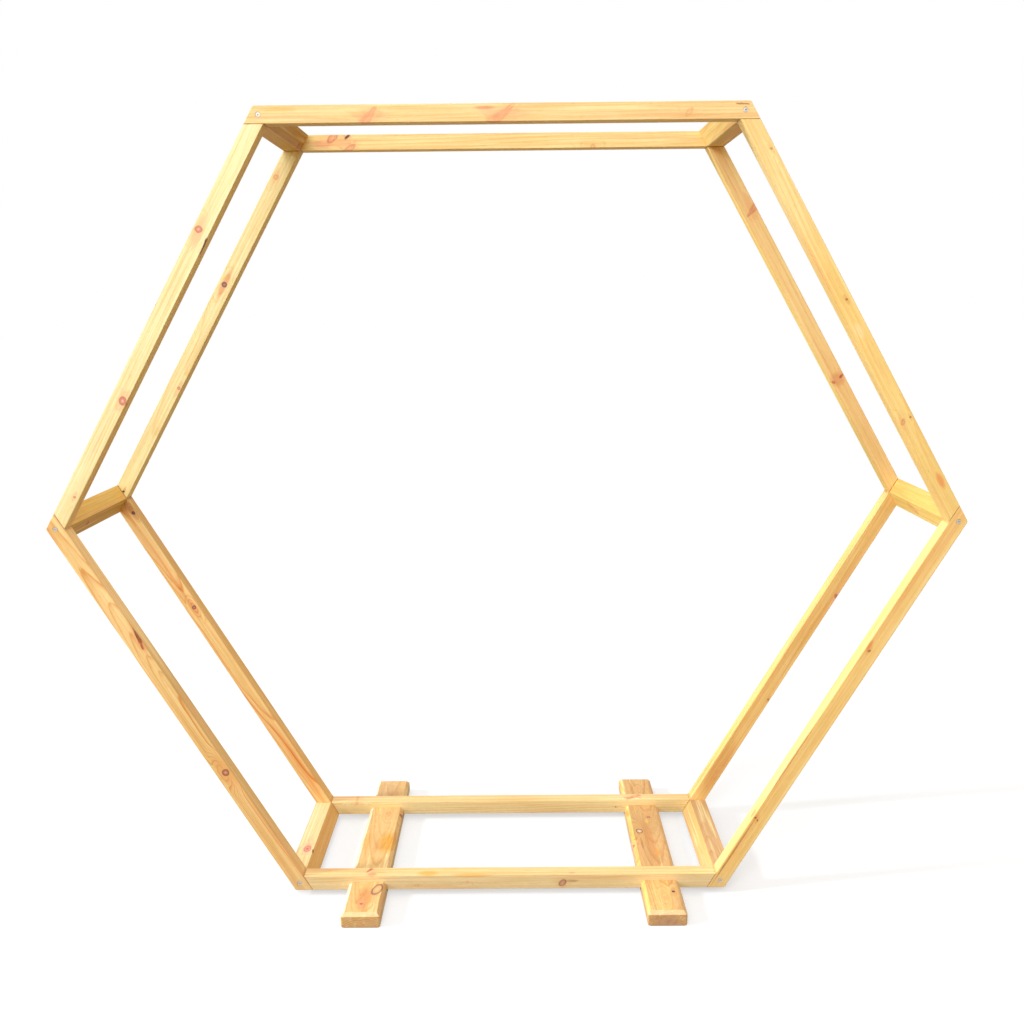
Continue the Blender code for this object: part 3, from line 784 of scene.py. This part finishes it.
            knot("purple", (125, -14, 0), 6, share=0.6),
            knot("dark", (-310, -30, 0), 4.5),
            knot("pale", (-341, -3, 0), 9, edge=0.9, heart="#E6BE80", rim="#CC9858", share=0.4),
            knot("rosy", (-44, 55, -12), 8, lean=(0, 1, 0), reach=20, heart="#A8543C"),
            knot("rosy", (322, -6, 0), 5, lean=(0.6, 0, 1), soft=0.4, share=0.4)],
        "stains": [
            ((-40, 27, 0), (36, 4, 10), "#9A5E30", 0.6),
            ((-30, 2, 0), (170, 17, 14), "#C88648", 0.45),
            ((100, -5, 0), (14, 7, 6), "#EBD46A", 0.7),
            ((-95, -14, 0), (22, 9, 8), "#E3A040", 0.6),
            ((-271, 0, 0), (16, 10, 6), "#CE7C54", 0.6),
            ((330, 18, 0), (60, 5, 8), "#B07A44", 0.5),
            ((-412, 0, -44), (14, 40, 38), "#C4967C", 0.85),
            ((-330, 5, 0), (120, 40, 12), "#ECCA80", 0.75)],
    },
}
for seed, (name, own) in enumerate(timbers.items(), start=1):
    mesh = frame["nodes"][name].data
    mesh.materials.clear()
    mesh.materials.append(planedRedwoodPine(name, {**pine, **own, "seed": seed}))
print("timber finished:", len(timbers), "pieces")


screw = {
    "headDiameter": 12.0,  # mm, as all sizes here
    "shankDiameter": 5.0,
    "headHeight": 3.4,
    "sunk": 0.4,  # below the wood's face
    "recessWidth": 1.5,
    "recessLength": 6.0,
    "recessDepth": 1.8,
    "recessFloor": (0.45, 0.6),  # its length and width there, as shares of those at its top
    "recessTop": 0.6,  # how far its cutter stands out of the head
    "steps": 48,  # round the head
    "bloom": 0.7,  # cloudy spots of the plating
    "colours": ("#C0BBB2", "#C2BCB4"),
    "roughness": (0.47, 0.67),
}


def zincPlatedSteel(settings):
    # bright zinc on a carbon steel screw: a pale grey metal, a little cloudy
    material = bpy.data.materials.new("zinc plated steel screw")
    material.use_nodes = True
    tree = material.node_tree
    shader = tree.nodes["Principled BSDF"]
    place = add(tree, "ShaderNodeTexCoord")["Object"]
    bloom = add(tree, noise, {"Vector": place, "Scale": 1 / (settings["bloom"] * mm),
                              "Detail": 3.0})["Fac"]
    bright, cloudy = (linear(colour) for colour in settings["colours"])
    tint = add(tree, mix, {0: bloom, 6: bright, 7: cloudy}, **inColour)
    tree.links.new(tint[2], shader.inputs["Base Color"])
    rough = add(tree, fade, {"Value": bloom, "To Min": settings["roughness"][0],
                             "To Max": settings["roughness"][1]})
    tree.links.new(rough[0], shader.inputs["Roughness"])
    shader.inputs["Metallic"].default_value = 1.0
    return material


def makeScrewMesh(settings, material):
    # the head's section turned about Z, with its flat top at z = 0
    head, shank = settings["headDiameter"] / 2, settings["shankDiameter"] / 2
    tall, steps = settings["headHeight"], settings["steps"]
    section = [(0, 0.12), (head * 0.5, 0.09), (head - 0.5, 0.0), (head - 0.12, -0.12), (head, -0.3),
               (head - 0.1, -0.5), (shank + 0.1, -tall + 0.1), (shank, -tall), (shank, -tall - 0.3),
               (0, -tall - 0.3)]
    shape = bmesh.new()
    rings = []
    for radius, height in section:
        angles = [2 * math.pi * i / steps for i in range(steps if radius else 1)]
        rings.append([shape.verts.new((radius * mm * math.cos(angle), radius * mm * math.sin(angle),
                                       height * mm)) for angle in angles])
    for upper, lower in zip(rings, rings[1:]):
        for i in range(steps):
            j = (i + 1) % steps
            ends = [upper[i % len(upper)], lower[i % len(lower)],
                    lower[j % len(lower)], upper[j % len(upper)]]
            shape.faces.new(list(dict.fromkeys(ends)))
    bmesh.ops.recalc_face_normals(shape, faces=shape.faces)

    # the cross recess narrows with depth
    cutter = bmesh.new()
    shorter, thinner = settings["recessFloor"]
    for turned in (0, 90):
        for corner in bmesh.ops.create_cube(cutter, size=1)["verts"]:
            low = corner.co.z < 0
            corner.co = Vector((
                corner.co.x * settings["recessLength"] * (shorter if low else 1.0),
                corner.co.y * settings["recessWidth"] * (thinner if low else 1.0),
                -settings["recessDepth"] if low else settings["recessTop"])) * mm
            corner.co.rotate(Matrix.Rotation(math.radians(turned), 3, "Z"))
    items = []
    for name, form in (("countersunk screw", shape), ("recess", cutter)):
        mesh = bpy.data.meshes.new(name)
        form.to_mesh(mesh)
        form.free()
        items.append(bpy.data.objects.new(name, mesh))
        sceneObjects.link(items[-1])
    blank, recess = items
    cut = blank.modifiers.new("recess", "BOOLEAN")
    cut.operation = "DIFFERENCE"
    cut.solver = "EXACT"
    cut.use_self = True
    cut.object = recess
    bpy.context.view_layer.update()
    solid = blank.evaluated_get(bpy.context.evaluated_depsgraph_get())
    mesh = bpy.data.meshes.new_from_object(solid)
    for item in items:
        bpy.data.objects.remove(item)
    mesh.materials.clear()
    mesh.materials.append(material)
    mesh.shade_smooth()
    mesh.set_sharp_from_angle(angle=math.radians(30))
    return mesh


screwMesh = makeScrewMesh(screw, zincPlatedSteel(screw))
for index, corner in enumerate(corners):
    angle = math.radians(120 - 60 * index)
    for row, facing in (("front", -1), ("back", 1)):
        one = bpy.data.objects.new(row + corner.title().replace("_", "") + "Screw", screwMesh)
        one.location = (cornerRadius * math.cos(angle),
                        facing * (arch["depth"] / 2 - screw["sunk"] * mm),
                        centreHeight + cornerRadius * math.sin(angle))
        # screws stop at any turn
        one.rotation_euler = (math.radians(90) * -facing, math.radians(37 * index + 20 * facing), 0)
        sceneObjects.link(one)
        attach(one, "root")
print("screws placed:", 2 * len(corners))


studio = {
    "floorColour": "#B0B6BC",
    "floorLift": 0.54,  # emission that takes the lit floor to white
    "floorSize": 120.0,  # metres
    "bounce": (0.17, 0.095, 0.014),  # what the floor gives back to the timber
    "skyAbove": (0.84, 0.77, 0.71),
    "skyLow": (0.82, 0.58, 0.34),
    "sunFrom": (-0.865, -0.178, 0.47),
    "sunStrength": 1.85,
    "sunWidth": 6.0,  # degrees
    "frontAt": (-0.8, -4.0, 3.6),  # a softbox, in metres
    "frontPower": 104.0,
    "frontSize": 2.0,
    "sideAt": (-4.4, -0.3, 0.5),  # a low strip light
    "sidePower": 70.0,
    "sideSize": 1.2,
}


def seenRays(tree):
    # 1 where the surface is seen, also in a gloss or through glass, and 0 where it gives light
    rays = add(tree, "ShaderNodeLightPath")
    seen = rays["Is Camera Ray"]
    for other in ("Is Glossy Ray", "Is Transmission Ray"):
        seen = add(tree, maths, {0: seen, 1: rays[other]}, operation="MAXIMUM")[0]
    return seen


def makeFloor(settings):
    shape = bmesh.new()
    bmesh.ops.create_grid(shape, x_segments=1, y_segments=1, size=settings["floorSize"] / 2)
    mesh = bpy.data.meshes.new("floor")
    shape.to_mesh(mesh)
    shape.free()
    floor = bpy.data.objects.new("floor", mesh)
    sceneObjects.link(floor)
    material = bpy.data.materials.new("pale floor")
    material.use_nodes = True
    tree = material.node_tree
    tree.nodes.clear()
    matt = add(tree, "ShaderNodeBsdfDiffuse", {"Color": linear(settings["floorColour"])})
    lift = add(tree, "ShaderNodeEmission", {
        "Color": (1, 1, 1, 1), "Strength": settings["floorLift"]})
    lifted = add(tree, "ShaderNodeAddShader", {0: matt[0], 1: lift[0]})
    bounce = add(tree, "ShaderNodeBsdfDiffuse", {"Color": (*settings["bounce"], 1)})
    both = add(tree, "ShaderNodeMixShader", {0: seenRays(tree), 1: bounce[0], 2: lifted[0]})
    add(tree, "ShaderNodeOutputMaterial", {"Surface": both[0]})
    mesh.materials.append(material)


def makeSky(settings):
    world = bpy.data.worlds.new("studio")
    bpy.context.scene.world = world
    world.use_nodes = True
    tree = world.node_tree
    tree.nodes.clear()
    # the sky warms towards the horizon
    way = add(tree, "ShaderNodeTexCoord")["Generated"]
    high = add(tree, split, {0: way})["Z"]
    high = add(tree, fade, {"Value": high, "From Min": 0.05, "From Max": 0.75})[0]
    tint = add(tree, mix, {0: high, 6: (*settings["skyLow"], 1), 7: (*settings["skyAbove"], 1)},
               **inColour)[2]
    light, white = (add(tree, "ShaderNodeBackground", {"Color": colour, "Strength": 1.0})
                    for colour in (tint, (1, 1, 1, 1)))
    both = add(tree, "ShaderNodeMixShader", {0: seenRays(tree), 1: light[0], 2: white[0]})
    add(tree, "ShaderNodeOutputWorld", {"Surface": both[0]})


def addSun(settings):
    lamp = bpy.data.lights.new("sunLamp", "SUN")
    lamp.energy = settings["sunStrength"]
    lamp.angle = math.radians(settings["sunWidth"])
    item = bpy.data.objects.new("sunLamp", lamp)
    item.rotation_euler = Vector(settings["sunFrom"]).to_track_quat("Z", "Y").to_euler()
    sceneObjects.link(item)


def addSoftbox(name, settings):
    lamp = bpy.data.lights.new(name + "Lamp", "AREA")
    lamp.energy = settings[name + "Power"]
    lamp.shape = "SQUARE"
    lamp.size = settings[name + "Size"]
    item = bpy.data.objects.new(name + "Lamp", lamp)
    item.location = settings[name + "At"]
    away = Vector(settings[name + "At"]) - Vector((0, 0, centreHeight))
    item.rotation_euler = away.to_track_quat("Z", "Y").to_euler()
    item.visible_camera = False
    sceneObjects.link(item)


makeFloor(studio)
makeSky(studio)
addSun(studio)
addSoftbox("front", studio)
addSoftbox("side", studio)
print("floor and light set")

view = {
    "eye": (0.0303, -2.9749, 1.6835),
    "pitch": -0.1971,  # radians
    "roll": 0.0093,
    "yaw": 0.0031,
    "focalPixels": 1028.2,
    "pictureWidth": 1024,  # pixels
    "sensorWidth": 36,  # mm
    "farthest": 200,  # metres
}


def makeCamera(settings):
    camera = bpy.data.cameras.new("camera")
    camera.sensor_width = settings["sensorWidth"]
    camera.lens = settings["focalPixels"] * settings["sensorWidth"] / settings["pictureWidth"]
    camera.clip_end = settings["farthest"]
    item = bpy.data.objects.new("camera", camera)
    turn = (Matrix.Rotation(settings["yaw"], 3, "Z") @ Matrix.Rotation(settings["roll"], 3, "Y")
            @ Matrix.Rotation(settings["pitch"], 3, "X"))
    right, forward, up = turn.col
    axes = Matrix((right, up, -forward)).transposed().to_4x4()
    item.matrix_world = Matrix.Translation(settings["eye"]) @ axes
    sceneObjects.link(item)
    bpy.context.scene.camera = item


makeCamera(view)
bpy.context.scene.view_settings.view_transform = "Standard"
